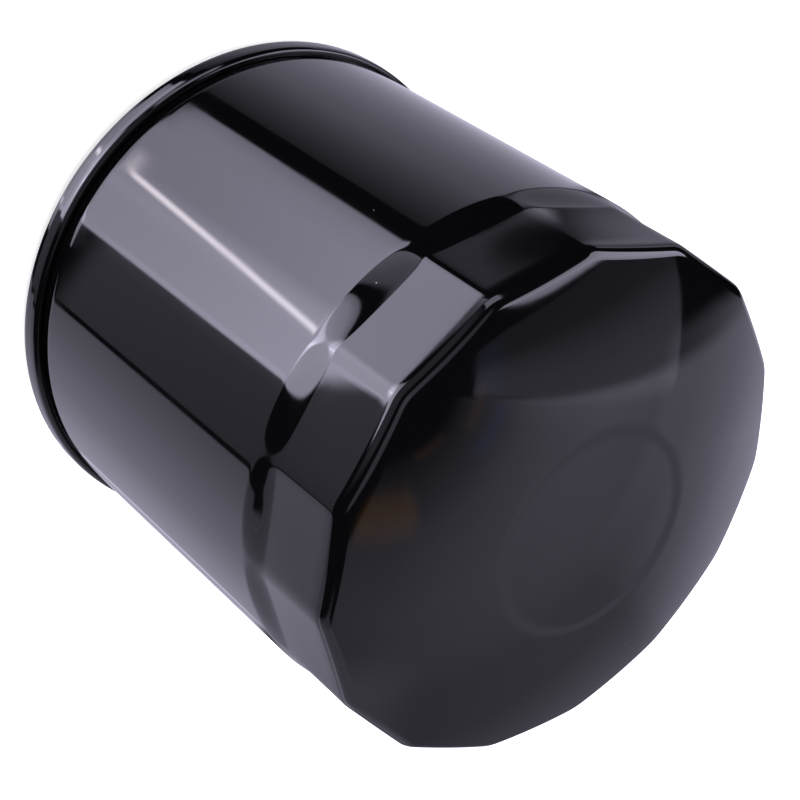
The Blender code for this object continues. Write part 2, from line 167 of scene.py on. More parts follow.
def grid_faces(rows, columns, wrap_rows=False):
    """Faces between rings of corners, and from the last ring to the first if the rows wrap."""
    faces = []
    for row in range(rows if wrap_rows else rows - 1):
        below = row * columns
        above = (row + 1) % rows * columns
        for i in range(columns):
            j = (i + 1) % columns
            faces.append((below + i, below + j, above + j, above + i))
    return faces


def ring_corners(rings, angles):
    """Corners of a wall whose rings are functions from an angle to (radius, z)."""
    corners = []
    for ring in rings:
        for angle in angles:
            radius, z = ring(angle)
            corners.append(polar(radius, angle, z))
    return corners


def joined(parts):
    """One list of corners and one of faces, from several such pairs."""
    corners = []
    faces = []
    for part_corners, part_faces in parts:
        start = len(corners)
        corners += part_corners
        faces += [tuple(start + i for i in face) for face in part_faces]
    return corners, faces


def turned_corners(profile, steps):
    """Corners of a (radius, z) profile turned round the axis."""
    return [polar(radius, math.tau * i / steps, z) for radius, z in profile for i in range(steps)]


def turned(name, profile, look, body, *stands_for, steps=ROUND):
    """A ring turned from a closed (radius, z) profile."""
    corners = turned_corners(profile, steps)
    faces = grid_faces(len(profile), steps, wrap_rows=True)
    made = piece(name, corners, faces, look, body, *stands_for)
    made.data.set_sharp_from_angle(angle=CREASE)
    return made


def sheet_profile(centreline, thickness):
    """The closed outline of a strip of this thickness round an open centreline."""
    sides = ([], [])
    for i, (radius, z) in enumerate(centreline):
        before = centreline[max(i - 1, 0)]
        after = centreline[min(i + 1, len(centreline) - 1)]
        along = Vector((after[0] - before[0], after[1] - before[1])).normalized()
        across = Vector((-along.y, along.x)) * thickness / 2
        sides[0].append((radius + across.x, z + across.y))
        sides[1].append((radius - across.x, z - across.y))
    return sides[0] + sides[1][::-1]


def rounded(points, radius, steps=5, closed=False):
    """The same path with each corner turned into a curve of up to about this radius."""
    path = []
    count = len(points)
    longest = 0.45  # share of a side that one corner may take
    for i, point in enumerate(points):
        if not closed and i in (0, count - 1):
            path.append(point)
            continue
        here = Vector(point)
        before = Vector(points[i - 1]) - here
        after = Vector(points[(i + 1) % count]) - here
        half = before.angle(after) / 2
        reach = min(radius / math.tan(half), before.length * longest, after.length * longest)
        start = here + before.normalized() * reach
        end = here + after.normalized() * reach
        for step in range(steps + 1):
            share = step / steps
            bent = start.lerp(here, share).lerp(here.lerp(end, share), share)
            path.append((bent.x, bent.y))
    return path


# ---------------------------------------------------------------- shader helpers


class Shader:
    """A material's node tree, with short calls for adding and joining nodes."""

    def __init__(self, name):
        self.material = bpy.data.materials.new(name)
        self.material.use_nodes = True
        self.tree = self.material.node_tree
        self.tree.nodes.clear()
        self.output = self.add("ShaderNodeOutputMaterial")

    def add(self, kind, settings=None, **inputs):
        """A node with its own settings, and with values or links for its named sockets."""
        node = self.tree.nodes.new(kind)
        for key, value in (settings or {}).items():
            setattr(node, key, value)
        for key, value in inputs.items():
            self.set(node, key.replace("_", " "), value)
        return node

    def set(self, node, socket, value):
        """Gives a socket, named or numbered, a value or a link."""
        place = node.inputs[int(socket)] if socket.isdigit() else node.inputs[socket]
        if isinstance(value, bpy.types.NodeSocket):
            self.tree.links.new(value, place)
        else:
            place.default_value = value

    def math(self, operation, first, second=0.0):
        """The result of one operation on two numbers or links."""
        node = self.add("ShaderNodeMath", {"operation": operation})
        self.set(node, "0", first)
        self.set(node, "1", second)
        return node.outputs[0]

    def place(self):
        """Object coordinates, in metres."""
        return self.add("ShaderNodeTexCoord").outputs["Object"]

    def noise(self, scale, detail=2.0, rough=0.5, vector=None):
        """Cloudy noise from 0 to 1, this many cells to the metre."""
        vector = vector or self.place()
        node = self.add("ShaderNodeTexNoise", Vector=vector, Scale=scale, Detail=detail, Roughness=rough)
        return node.outputs["Fac"]

    def stretched(self, scale):
        """Object coordinates stretched by a scale on each axis."""
        node = self.add("ShaderNodeMapping", Vector=self.place(), Scale=scale)
        return node.outputs["Vector"]

    def between(self, value, low, high, to_low=0.0, to_high=1.0):
        """Eases from one number to another as the value goes from low to high."""
        node = self.add("ShaderNodeMapRange", {"interpolation_type": "SMOOTHSTEP"}, Value=value)
        for key, number in zip(("1", "2", "3", "4"), (low, high, to_low, to_high)):
            self.set(node, key, number)
        return node.outputs["Result"]

    def mix(self, share, first, second):
        """A blend of two colours."""
        node = self.add("ShaderNodeMix", {"data_type": "RGBA"})
        self.set(node, "0", share)
        self.set(node, "6", first)
        self.set(node, "7", second)
        return node.outputs[2]

    def bump(self, height, distance, strength=1.0, normal=None):
        """A normal tilted by a height map, on top of another bump if one is given."""
        node = self.add("ShaderNodeBump", Height=height, Distance=distance, Strength=strength)
        if normal is not None:
            self.set(node, "Normal", normal)
        return node.outputs["Normal"]

    def add_shaders(self, *shaders):
        """A clear surface that these shaders glow on."""
        total = self.add("ShaderNodeBsdfTransparent").outputs[0]
        for shader in shaders:
            both = self.add("ShaderNodeAddShader")
            self.tree.links.new(total, both.inputs[0])
            self.tree.links.new(shader.outputs[0], both.inputs[1])
            total = both.outputs[0]
        return total

    def principled(self, **inputs):
        """Finishes the material with one principled surface."""
        node = self.add("ShaderNodeBsdfPrincipled", **inputs)
        self.tree.links.new(node.outputs["BSDF"], self.output.inputs["Surface"])
        return self.material


def rgb(red, green, blue):
    """A solid colour, as a shader socket takes it."""
    return (red, green, blue, 1.0)


def specks(shader, cell, share, radius):
    """A mask of sparse round specks, sized in mm: one in each chosen cell of a random grid."""
    cells = shader.add("ShaderNodeTexVoronoi", Vector=shader.place(), Scale=1 / (cell * MM))
    lot = shader.add("ShaderNodeSeparateColor", Color=cells.outputs["Color"]).outputs[0]
    chosen = shader.math("LESS_THAN", lot, share)
    edge = radius / cell
    near = shader.between(cells.outputs["Distance"], edge, edge / 2)
    return shader.math("MULTIPLY", chosen, near)


# ---------------------------------------------------------------- materials


def enamel(name):
    """Glossy black stoved enamel: slight waves and orange peel, faint haze, a little dust."""
    s = Shader(name)
    large = specks(s, cell=5.0, share=0.06, radius=0.13)
    small = specks(s, cell=2.2, share=0.035, radius=0.085)
    dust = s.math("MAXIMUM", large, small)
    haze = s.noise(70.0, detail=4.0, rough=0.6)
    colour = s.mix(dust, rgb(0.0015, 0.0015, 0.002), rgb(0.25, 0.25, 0.27))
    roughness = s.between(haze, 0.35, 0.75, 0.035, 0.075)
    roughness = s.math("MAXIMUM", roughness, s.math("MULTIPLY", dust, 0.6))
    waves = s.bump(s.noise(60.0, detail=1.0), 0.03 * MM, 0.5)
    peel = s.bump(s.noise(700.0, detail=1.0), 0.001 * MM, 0.5, waves)
    return s.principled(Base_Color=colour, Roughness=roughness, IOR=1.54, Normal=peel)


def zinc_plate(name):
    """Dull plated steel, blotchy and finely grained."""
    s = Shader(name)
    blotch = s.noise(160.0, detail=5.0, rough=0.62)
    colour = s.mix(s.between(blotch, 0.3, 0.72), rgb(0.23, 0.23, 0.24), rgb(0.42, 0.41, 0.40))
    roughness = s.between(s.noise(420.0, detail=3.0), 0.3, 0.7, 0.28, 0.46)
    normal = s.bump(s.noise(1500.0), 0.01 * MM, 0.6)
    return s.principled(Base_Color=colour, Metallic=1.0, Roughness=roughness, Normal=normal)


def weld_metal(name):
    """Heat-tinted weld: rough metal in brownish and bluish patches."""
    s = Shader(name)
    tint = s.noise(700.0, detail=3.0)
    colour = s.mix(s.between(tint, 0.35, 0.65), rgb(0.20, 0.17, 0.15), rgb(0.16, 0.18, 0.24))
    roughness = s.between(s.noise(1800.0), 0.3, 0.7, 0.4, 0.7)
    normal = s.bump(s.noise(1300.0, detail=3.0), 0.06 * MM, 0.8)
    return s.principled(Base_Color=colour, Metallic=1.0, Roughness=roughness, Normal=normal)


def tin_plate(name):
    """Bright tinned sheet with faint rolling lines."""
    s = Shader(name)
    lines = s.noise(260.0, detail=3.0, vector=s.stretched((1.0, 1.0, 14.0)))
    colour = s.mix(s.between(lines, 0.3, 0.7), rgb(0.52, 0.52, 0.50), rgb(0.68, 0.68, 0.66))
    roughness = s.between(lines, 0.3, 0.7, 0.22, 0.36)
    normal = s.bump(lines, 0.01 * MM, 0.5)
    return s.principled(Base_Color=colour, Metallic=1.0, Roughness=roughness, Normal=normal)


def spring_steel(name):
    """Dark tempered steel, finely mottled."""
    s = Shader(name)
    marks = s.noise(900.0, detail=4.0, rough=0.6)
    colour = s.mix(s.between(marks, 0.3, 0.7), rgb(0.17, 0.18, 0.20), rgb(0.34, 0.35, 0.37))
    roughness = s.between(marks, 0.3, 0.7, 0.2, 0.36)
    normal = s.bump(marks, 0.008 * MM, 0.5)
    return s.principled(Base_Color=colour, Metallic=1.0, Roughness=roughness, Normal=normal)


def moulded_rubber(name):
    """Black nitrile rubber: satin, with a fine mould texture and a dusty bloom."""
    s = Shader(name)
    bloom = s.noise(230.0, detail=5.0, rough=0.65)
    colour = s.mix(s.between(bloom, 0.4, 0.8), rgb(0.012, 0.012, 0.013), rgb(0.038, 0.037, 0.036))
    roughness = s.between(bloom, 0.3, 0.75, 0.45, 0.68)
    normal = s.bump(s.noise(2600.0), 0.02 * MM, 0.6)
    return s.principled(Base_Color=colour, Roughness=roughness, Normal=normal)


def silicone(name):
    """Orange silicone: slightly translucent, with a waxy sheen."""
    s = Shader(name)
    cloud = s.noise(190.0, detail=4.0, rough=0.55)
    colour = s.mix(s.between(cloud, 0.3, 0.72), rgb(0.50, 0.12, 0.03), rgb(0.66, 0.20, 0.06))
    roughness = s.between(cloud, 0.3, 0.7, 0.36, 0.52)
    normal = s.bump(s.noise(1600.0), 0.02 * MM, 0.5)
    return s.principled(
        Base_Color=colour,
        Roughness=roughness,
        Normal=normal,
        Subsurface_Weight=0.15,
        Subsurface_Scale=1.0 * MM,
    )


def plastisol(name):
    """Cured red-brown adhesive with small bubbles."""
    s = Shader(name)
    bubbles = s.add("ShaderNodeTexVoronoi", Vector=s.place(), Scale=900.0).outputs["Distance"]
    colour = s.mix(s.noise(260.0, detail=4.0), rgb(0.30, 0.08, 0.05), rgb(0.46, 0.16, 0.10))
    roughness = s.between(bubbles, 0.1, 0.6, 0.35, 0.6)
    normal = s.bump(bubbles, 0.1 * MM, 0.5)
    return s.principled(Base_Color=colour, Roughness=roughness, Normal=normal)


def filter_paper(name):
    """Resin-soaked paper: tan, fibrous, with darker patches."""
    s = Shader(name)
    fibres = s.noise(700.0, detail=6.0, rough=0.7, vector=s.stretched((1.0, 1.0, 3.0)))
    patches = s.noise(90.0, detail=3.0)
    fine = s.mix(s.between(fibres, 0.3, 0.7), rgb(0.50, 0.33, 0.14), rgb(0.74, 0.54, 0.29))
    colour = s.mix(s.between(patches, 0.35, 0.7, 0.0, 0.35), fine, rgb(0.44, 0.28, 0.12))
    roughness = s.between(fibres, 0.3, 0.7, 0.78, 0.95)
    normal = s.bump(fibres, 0.08 * MM, 0.7)
    return s.principled(Base_Color=colour, Roughness=roughness, Normal=normal)


# ---------------------------------------------------------------- the can


def flute_angles():
    """Angles round the can, closer together at the ridges between flats."""
    shares = (0.2, 0.4, 0.57, 0.7, 0.8, 0.87, 0.915, 0.95, 0.975)
    half = math.pi / FLUTES
    offsets = [-half] + [-half * share for share in shares[::-1]] + [0.0] + [half * share for share in shares]
    return [math.tau * flute / FLUTES + offset for flute in range(FLUTES) for offset in offsets]


def polygon_radius(off_middle, flat):
    """Radius of a rounded polygon whose flats lie this far from the axis."""
    half = math.pi / FLUTES
    centre = (flat - RIDGE_RADIUS) / math.cos(half)
    tangent = math.atan2(centre * math.sin(half), flat)
    if abs(off_middle) <= tangent:
        return flat / math.cos(off_middle)
    swing = half - abs(off_middle)
    return centre * math.cos(swing) + math.sqrt(RIDGE_RADIUS**2 - (centre * math.sin(swing)) ** 2)


def eased(share):
    """Rises smoothly from 0 to 1, and stays there outside that range."""
    share = min(max(share, 0.0), 1.0)
    return share * share * (3 - 2 * share)


def ramp_share(z):
    """How much of a flat's depth is reached at this height: 0 on the plain wall, 1 on the flat."""
    steep = eased((z - RAMP_START) / (RAMP_END - RAMP_START))
    gentle = eased((z - RAMP_START) / (FLAT_FULL - RAMP_START))
    return steep + (gentle - steep) * RAMP_TAIL


def wall_radius(angle, z):
    """The can's outer radius: round below the ramps, and a rounded polygon above them."""
    pitch = math.tau / FLUTES
    off_middle = (angle + pitch / 2) % pitch - pitch / 2
    depth = CAN_RADIUS - polygon_radius(off_middle, CAN_RADIUS - FLAT_INSET)
    return CAN_RADIUS - depth * ramp_share(z)


def dome_height(radius):
    """Height of the dome's sphere at this radius."""
    return HEIGHT - DOME_RADIUS + math.sqrt(DOME_RADIUS**2 - radius**2)


def pressed(radius):
    """Depth of the shallow pressed circle in the dome at this radius."""
    return PRESSED_DEPTH * eased((PRESSED_RADIUS - radius) / PRESSED_STEP + 0.5)


def corner_point(wall, share):
    """A point of the rounded corner from the wall, 0, to the dome, 1."""
    centre_radius = wall - CORNER_RADIUS
    reach = math.sqrt((DOME_RADIUS - CORNER_RADIUS) ** 2 - centre_radius**2)
    centre_z = HEIGHT - DOME_RADIUS + reach
    bend = share * math.atan2(reach, centre_radius)
    return (centre_radius + CORNER_RADIUS * math.cos(bend), centre_z + CORNER_RADIUS * math.sin(bend))


def dome_point(angle, share):
    """A point of the dome between the corner's end, 0, and just outside the pressed circle, 1."""
    start = corner_point(wall_radius(angle, FLAT_FULL), 1.0)[0]
    radius = start + (PRESSED_RADIUS + 2.1 - start) * share
    return (radius, dome_height(radius))


def can_rings():
    """The can's outer surface as functions from an angle to (radius, z), from its mouth up."""
    neck = [(NECK_RADIUS, 2.5), (NECK_RADIUS, 5.9), (NECK_RADIUS, 6.2), (NECK_RADIUS + 0.03, 6.5)]
    shoulder = [(CAN_RADIUS - 0.15, 6.9), (CAN_RADIUS - 0.03, 7.3), (CAN_RADIUS, 7.7)]
    rings = [lambda angle, point=point: point for point in neck + shoulder]
    heights = [8.2, 15.0, 25.0, 35.0, 45.0, 52.0, 57.0, 58.6]
    heights += [RAMP_START + (RAMP_END - RAMP_START) * i / RAMP_STEPS for i in range(RAMP_STEPS + 1)]
    heights += [65.4, 67.0, 69.5, 72.0, FLAT_FULL]
    for z in heights:
        rings.append(lambda angle, z=z: (wall_radius(angle, z), z))
    for i in range(CORNER_STEPS + 1):
        share = i / CORNER_STEPS
        rings.append(lambda angle, share=share: corner_point(wall_radius(angle, FLAT_FULL), share))
    for i in range(1, DOME_STEPS):
        share = i / DOME_STEPS
        rings.append(lambda angle, share=share: dome_point(angle, share))
    around_step = [PRESSED_RADIUS + shift for shift in (1.5, 0.9, 0.6, 0.3, 0.0, -0.3, -0.6, -0.9, -1.5)]
    for radius in around_step + [11.0, 8.0, 5.0, 2.5, 1.0]:
        rings.append(lambda angle, radius=radius: (radius, dome_height(radius) - pressed(radius)))
    return rings


def can_body(look):
    """The drawn can: plain wall, ramps, 15 flats and domed end, all of one sheet."""
    angles = flute_angles()
    rings = can_rings()
    corners = ring_corners(rings, angles)
    faces = grid_faces(len(rings), len(angles))
    last = len(corners) - len(angles)
    corners.append((0.0, 0.0, (HEIGHT - PRESSED_DEPTH) * MM))
    for i in range(len(angles)):
        faces.append((last + i, last + (i + 1) % len(angles), len(corners) - 1))
    made = piece("can_body", corners, faces, look, "canister", "can_shell")
    wall = made.modifiers.new("wall", "SOLIDIFY")
    wall.thickness = CAN_SHEET * MM
    wall.offset = -1.0


def rolled_lid(look):
    """Lid with its rim rolled round the can's edge, the gasket channel and its inner bead."""
    outer = SEAM_RADIUS - LID_SHEET / 2
    top = SEAM_TOP - LID_SHEET / 2
    bottom = SEAM_BOTTOM + LID_SHEET / 2
    curl = [(outer - 0.64, top - 0.12), (outer - 0.32, top), (outer - 0.09, top - 0.35)]
    skirt = [(outer - 0.02, 4.0), (outer, 3.0), (outer - 0.02, bottom + 0.5), (outer - 0.38, bottom)]
    outside = GASKET_OUTER + 0.6
    inside = GASKET_INNER - 0.6
    channel = [(outside + 0.6, bottom), (outside, bottom + 0.5), (outside, LID_ROOF), (inside, LID_ROOF)]
    foot = LID_ROOF - BEAD_DROP
    bead = [(inside - 0.4, foot), (inside - 1.5, foot), (inside - 1.9, LID_ROOF)]
    path = rounded(curl + skirt + channel + bead + [(LID_HOLE, LID_ROOF)], 0.5, steps=4)
    made = turned("rolled_lid", sheet_profile(path, LID_SHEET), look, "canister", "seam_lid")


def gasket(look):
    """Square-section ring with softened edges and two fine moulded grooves in its sealing face."""
    middle = (GASKET_INNER + GASKET_OUTER) / 2
    outline = [(GASKET_OUTER, GASKET_TOP), (GASKET_OUTER, 0.0)]
    for groove in (middle + 0.9, middle - 0.9):
        outline += [(groove + 0.35, 0.0), (groove, GROOVE_DEPTH), (groove - 0.35, 0.0)]
    outline += [(GASKET_INNER, 0.0), (GASKET_INNER, GASKET_TOP)]
    profile = rounded(outline, 0.45, steps=4, closed=True)
    made = turned("gasket", profile, look, "canister", "sealing_gasket")


# ---------------------------------------------------------------- the base plate


def share_edge(turn):
    """Where a line from an inlet's centre leaves its share of the plate, as (radius, angle).

    The angle is from the inlet's own. A turn of 0 points outward.
    """
    half_pitch = math.pi / INLETS
    out = math.cos(turn)
    along = math.sin(turn)
    half_width = (INLET_BAND[1] - INLET_BAND[0]) / 2
    reach = 1 / max(abs(out) / half_width, abs(along) / (INLET_CIRCLE * half_pitch))
    return (INLET_CIRCLE + out * reach, along * reach / INLET_CIRCLE)


def inlet_turns():
    """Directions round an inlet, with the corners of its share of the plate among them."""
    corner = math.atan2(INLET_CIRCLE * math.pi / INLETS, (INLET_BAND[1] - INLET_BAND[0]) / 2)
    turns = [math.tau * i / INLET_SIDES for i in range(INLET_SIDES)]
    turns += [corner, math.pi - corner, math.pi + corner, math.tau - corner]
    return sorted(turns)


def plate_angles():
    """Angles round the plate that meet the lines from every inlet."""
    offsets = []
    for turn in inlet_turns():
        radius, offset = share_edge(turn)
        if radius > INLET_BAND[1] - MERGE and offset < math.pi / INLETS - MERGE:
            offsets.append(offset)
    angles = []
    for number in range(INLETS):
        for offset in sorted(offsets):
            angles.append(math.tau * number / INLETS + offset)
    return angles


def thread_radius(angle, z):
    """The bore's radius: a helical V thread that runs out in a chamfer at each end."""
    turn = z / THREAD_PITCH - angle / math.tau
    ridge = abs(2 * (turn % 1.0) - 1)
    flanks = min(max((ridge - THREAD_FLAT) / (1 - 2 * THREAD_FLAT), 0.0), 1.0)
    mouth = BORE_MOUTH - (z - BOSS_BOTTOM)
    end = BORE_EXIT - (NECK_TOP - z)
    return THREAD_MINOR + max(THREAD_DEPTH * flanks, mouth, end)


def plate_rings():
    """The plate inside the inlets' band, as functions from an angle to (radius, z)."""
    band = INLET_BAND[0]
    under = [(band, PLATE_BOTTOM), (NECK_OUTER + 1.4, PLATE_BOTTOM), (THREAD_MINOR + 1.6, BOSS_BOTTOM)]
    neck = [(NECK_OUTER - NECK_EDGE, NECK_TOP), (NECK_OUTER, NECK_TOP - NECK_EDGE)]
    neck += [(NECK_OUTER, PLATE_TOP + 1.0)]
    neck += [(NECK_OUTER + 0.35, PLATE_TOP + 0.35), (NECK_OUTER + 1.2, PLATE_TOP), (band, PLATE_TOP)]
    rings = [lambda angle, point=point: point for point in under]
    steps = round((NECK_TOP - BOSS_BOTTOM) / THREAD_PITCH * THREAD_STEPS)
    for i in range(steps + 1):
        z = BOSS_BOTTOM + (NECK_TOP - BOSS_BOTTOM) * i / steps
        rings.append(lambda angle, z=z: (thread_radius(angle, z), z))
    return rings + [lambda angle, point=point: point for point in neck]


def rim_rings():
    """The plate's outer edge, from the inlets' band on its top round to the band below."""
    band = INLET_BAND[1]
    inset = PLATE_RADIUS - PLATE_EDGE
    outline = [(band, PLATE_TOP), (inset, PLATE_TOP), (PLATE_RADIUS, PLATE_TOP - PLATE_EDGE)]
    outline += [(PLATE_RADIUS, PLATE_BOTTOM + PLATE_EDGE), (inset, PLATE_BOTTOM), (band, PLATE_BOTTOM)]
    return [lambda angle, point=point: point for point in outline]


def inlet_rings(number):
    """Rings of corners through one inlet, from the edge of its share above to the one below."""
    levels = [
        (INLET_RADIUS + PLATE_EDGE, PLATE_TOP),
        (INLET_RADIUS, PLATE_TOP - PLATE_EDGE),
        (INLET_RADIUS, PLATE_BOTTOM + PLATE_EDGE),
        (INLET_RADIUS + PLATE_EDGE, PLATE_BOTTOM),
    ]
    middle = math.tau * number / INLETS
    edges = [share_edge(turn) for turn in inlet_turns()]
    rings = [[polar(radius, middle + offset, PLATE_TOP) for radius, offset in edges]]
    for hole, z in levels:
        centre = Vector(polar(INLET_CIRCLE, middle, z))
        rings.append([centre + Vector(polar(hole, middle + turn, 0.0)) for turn in inlet_turns()])
    rings.append([polar(radius, middle + offset, PLATE_BOTTOM) for radius, offset in edges])
    return rings


def base_plate(look):
    """Thick plate with chamfered inlet holes round a drawn neck, which carries the stud thread."""
    angles = plate_angles()
    parts = []
    for rings in (plate_rings(), rim_rings()):
        parts.append((ring_corners(rings, angles), grid_faces(len(rings), len(angles))))
    for number in range(INLETS):
        rings = inlet_rings(number)
        parts.append((sum(rings, []), grid_faces(len(rings), len(rings[0]))))
    corners, faces = joined(parts)
    made = piece("threaded_plate", corners, faces, look, "canister", "base_plate")
    made.data.set_sharp_from_angle(angle=CREASE)


def weld_button(number, look):
    """The domed foot of one plug weld, standing a little proud of the lid, and its flat top inside."""
    middle = Vector(polar(WELD_CIRCLE, math.tau * (number - 1) / WELDS, 0.0))
    under = LID_ROOF - LID_SHEET / 2
    foot = [(0.5, under - 0.23), (0.95, under - 0.18), (1.3, under - 0.09), (1.55, under)]
    profile = foot + [(1.6, under + 0.2), (1.4, WELD_TOP), (0.5, WELD_TOP)]
    corners = [Vector(corner) + middle for corner in turned_corners(profile, WELD_SIDES)]
    faces = grid_faces(len(profile), WELD_SIDES)
    for start, z in ((0, under - 0.25), (len(corners) - WELD_SIDES, WELD_TOP)):
        for i in range(WELD_SIDES):
            faces.append((start + i, start + (i + 1) % WELD_SIDES, len(corners)))
        corners.append(middle + Vector((0.0, 0.0, z * MM)))
    made = piece(f"weld_button_{number}", corners, faces, look, "canister", f"weld_nugget_{number}")


# ---------------------------------------------------------------- valve and springs


def diaphragm(look):
    """Soft anti-drain-back valve: a skirt over the inlets, with a thick lip, round a gripping hub."""
    seat = PLATE_TOP + VALVE_GAP
    hub = NECK_OUTER + VALVE_GAP + DIAPHRAGM_SHEET / 2
    lip = seat + DIAPHRAGM_SHEET / 2
    path = [(DIAPHRAGM_RADIUS, lip), (hub + 2.3, lip + 0.6), (hub, lip + 1.7), (hub, HUB_TOP)]
    outline = sheet_profile(rounded(path, 1.6, steps=6), DIAPHRAGM_SHEET)
    profile = rounded(outline, 0.35, steps=3, closed=True)
    made = turned("rubber_diaphragm", profile, look, "canister", "drain_valve_diaphragm", steps=SMALL_ROUND)
    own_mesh(made)


def swept(path, radius, sides):
    """Corners and faces of a round wire along a path, closed at both ends."""
    corners = []
    for i, point in enumerate(path):
        along = (path[min(i + 1, len(path) - 1)] - path[max(i - 1, 0)]).normalized()
        across = along.cross(Vector((0.0, 0.0, 1.0))).normalized()
        up = across.cross(along)
        for side in range(sides):
            turn = math.tau * side / sides
            corners.append(point + (across * math.cos(turn) + up * math.sin(turn)) * radius)
    faces = grid_faces(len(path), sides)
    faces.append(tuple(range(sides)))
    faces.append(tuple(range(len(corners) - sides, len(corners))))
    return corners, faces


def bypass_coil(look):
    """Compression coil of the relief valve, with a closed turn at each end."""
    low = SPRING_LOW + SPRING_WIRE
    high = SPRING_HIGH - SPRING_WIRE
    closed_turns = 0.8
    even_climb = 0.65  # share of the climb that is spread evenly over the whole coil
    steps = round(SPRING_TURNS * COIL_STEPS)
    path = []
    for i in range(steps + 1):
        turn = SPRING_TURNS * i / steps
        share = eased((turn - closed_turns / 2) / (SPRING_TURNS - closed_turns))
        climb = share * (1 - even_climb) + (turn / SPRING_TURNS) * even_climb
        path.append(Vector(polar(SPRING_MEAN, math.tau * turn, low + (high - low) * climb)))
    corners, faces = swept(path, SPRING_WIRE * MM, WIRE_SIDES)
    made = piece("bypass_coil", corners, faces, look, "element", "bypass_spring")
    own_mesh(made)


def arm_path():
    """(radius, z) along the middle of a leaf arm, from its root on the ring to its bent tip."""
    ring = LEAF_RING[1]
    roof = LEAF_TOP - LEAF_SHEET / 2
    path = [(ring - 1.5, LEAF_BASE), (ring, LEAF_BASE)]
    for step in range(1, ARM_STEPS + 1):
        share = step / ARM_STEPS
        path.append((ring + (LEAF_REACH - ring) * share, LEAF_BASE + (roof - LEAF_BASE) * eased(share)))
    for out, down in ((1.3, 0.02), (2.4, 0.2), (3.3, 0.7), (4.0, 1.3), (4.5, 1.9)):
        path.append((LEAF_REACH + out, roof - down))
    return path


def arm_width(share):
    """Half the arm's width: it tapers from its root and ends in a rounded tip."""
    root = 3.3
    narrowing = 0.7
    tip_start = 0.88
    tip_rounding = 0.75
    tip = max(share - tip_start, 0.0) / (1 - tip_start)
    return (root - narrowing * share) * math.sqrt(1 - tip_rounding * tip**2)


def leaf_ring():
    """Corners and faces of the spring's flat ring, which rests on the element."""
    inner, outer = LEAF_RING
    low = LEAF_BASE - LEAF_SHEET / 2
    high = LEAF_BASE + LEAF_SHEET / 2
    profile = rounded([(inner, low), (outer, low), (outer, high), (inner, high)], 0.15, steps=2, closed=True)
    return turned_corners(profile, SMALL_ROUND), grid_faces(len(profile), SMALL_ROUND, wrap_rows=True)


def leaf_arm(number):
    """Corners and faces of one arm: a flat strip with bevelled edges, closed at both ends."""
    turn = Matrix.Rotation(math.tau * (number + 0.5) / LEAF_ARMS, 3, "Z")
    path = arm_path()
    sides = 6
    face_height = LEAF_SHEET * 0.45  # a little under half the sheet, so that the roots stay in the ring
    face_share = 0.97  # of the half width, before the bevel
    corners = []
    for i, (radius, z) in enumerate(path):
        before = path[max(i - 1, 0)]
        after = path[min(i + 1, len(path) - 1)]
        along = Vector((after[0] - before[0], 0.0, after[1] - before[1])).normalized()
        up = Vector((-along.z, 0.0, along.x)) * face_height
        half = Vector((0.0, arm_width(i / (len(path) - 1)), 0.0))
        edge = half * face_share
        middle = Vector((radius, 0.0, z))
        for offset in (half, edge + up, -edge + up, -half, -edge - up, edge - up):
            corners.append(turn @ (middle + offset) * MM)
    faces = grid_faces(len(path), sides)
    faces.append(tuple(range(sides)))
    faces.append(tuple(range(len(corners) - sides, len(corners))))
    return corners, faces


def leaf_spring(look):
    """Spring-steel ring on the element, with four arms that press up against the dome."""
    corners, faces = joined([leaf_ring()] + [leaf_arm(number) for number in range(LEAF_ARMS)])
    made = piece("leaf_spring", corners, faces, look, "canister", "hold_down_spring")
    made.data.set_sharp_from_angle(angle=CREASE)
    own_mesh(made)


def pieces(spring):
    """Every piece that stands for a CAD node."""
    can_body(enamel("black_enamel"))
    rolled_lid(enamel("lid_enamel"))
    gasket(moulded_rubber("gasket_rubber"))
    base_plate(zinc_plate("zinc_plate"))
    weld = weld_metal("weld_metal")
    for number in range(1, WELDS + 1):
        weld_button(number, weld)
    diaphragm(silicone("silicone"))
    bypass_coil(spring)
    leaf_spring(spring)


def dress_carried_nodes(spring):
    """Materials for the CAD nodes that keep their own shape."""
    adhesive = plastisol("plastisol")
    tin = tin_plate("tin_plate")
    looks = {
        "lower_bond_ring": adhesive,
        "upper_bond_ring": adhesive,
        "pleated_media": filter_paper("filter_paper"),
        "bypass_poppet": zinc_plate("poppet_steel"),
        "bypass_seat_washer": moulded_rubber("washer_rubber"),
        "drain_valve_ring": spring,
        "stem_clip": spring,
    }
    for node in ("lower_end_cap", "upper_end_cap", "center_tube", "bypass_cage", "media_seam_clip"):
        looks[node] = tin
    for node, look in looks.items():
        frame["nodes"][node].data.materials.clear()
        frame["nodes"][node].data.materials.append(look)


# ---------------------------------------------------------------- stage, lights and camera

CARD_DISTANCE = 4.0
CARD_STEP = 0.03  # each card stands a little behind the last, so that none coincide
CARD_CELL = 3.0  # degrees that one face of a card spans
CARD_TINT = (0.86, 0.83, 1.05)
STREAK_TINT = (1.0, 0.9, 0.95)
ORANGE_TINT = (1.0, 0.4, 0.05)


def brightness_ramp(s, along, levels):
    """Brightness that follows (share, level) stops along a coordinate."""
    ramp = s.add("ShaderNodeValToRGB", Fac=along)
    brightest = max(level for _, level in levels)
    stops = ramp.color_ramp.elements
    while len(stops) < len(levels):
        stops.new(0.5)
    for stop, (share, level) in zip(stops, levels):
        stop.position = share
        stop.color = (level / brightest,) * 3 + (1.0,)
    return s.math("MULTIPLY", ramp.outputs["Color"], brightest)


